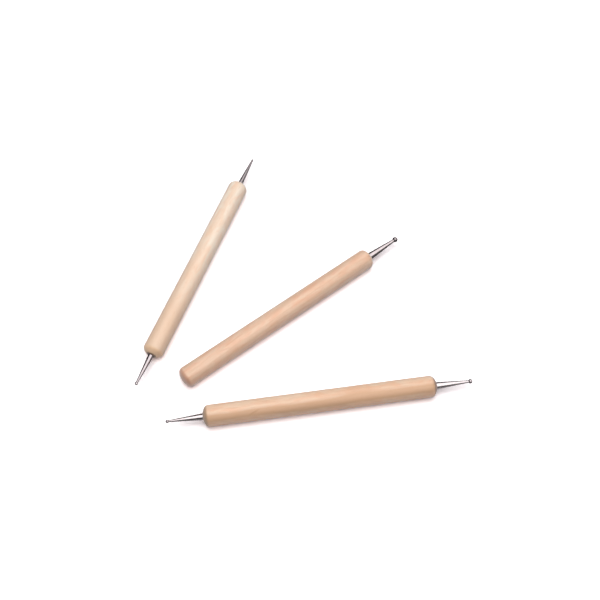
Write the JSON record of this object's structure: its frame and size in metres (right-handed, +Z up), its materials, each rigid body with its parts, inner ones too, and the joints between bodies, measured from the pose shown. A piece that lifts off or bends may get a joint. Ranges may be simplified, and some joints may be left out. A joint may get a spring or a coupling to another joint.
{
  "type": "clay modeling tool",
  "caption": "Loose set of ball-tipped clay modelling tools: slim turned wooden handles with domed ends, and tapered steel pins that end in small polished balls.",
  "frame": {"origin": "on the table, in the middle of the set's footprint", "axes": "+X to the user's right, +Y away from the user, +Z up"},
  "size_m": [0.1466, 0.1436, 0.0095],
  "materials": {
    "tan_wood": "fine-grained pale tan wood, sanded smooth, unvarnished",
    "pink_tan_wood": "fine-grained pinkish tan wood, sanded smooth, unvarnished",
    "cream_wood": "fine-grained cream wood, sanded smooth, unvarnished",
    "plated_steel": "turned and plated steel",
    "polished_steel": "polished steel"
  },
  "bodies": {
    "middle_tool": {"middle_handle": "pink_tan_wood", "middle_pin": "plated_steel", "middle_ball": "polished_steel"},
    "front_tool": {"front_handle": "tan_wood", "front_small_pin": "plated_steel", "front_small_ball": "polished_steel", "front_large_pin": "plated_steel", "front_large_ball": "polished_steel"},
    "rear_tool": {"rear_handle": "cream_wood", "rear_large_pin": "plated_steel", "rear_large_ball": "polished_steel", "rear_small_pin": "plated_steel", "rear_small_ball": "polished_steel"}
  },
  "joints": [
    {"name": "front_lift", "type": "slide", "parent": "middle_tool", "child": "front_tool", "axis": [0, 0, 1], "range_m": [0, 0.05]},
    {"name": "rear_lift", "type": "slide", "parent": "middle_tool", "child": "rear_tool", "axis": [0, 0, 1], "range_m": [0, 0.05]}
  ]
}
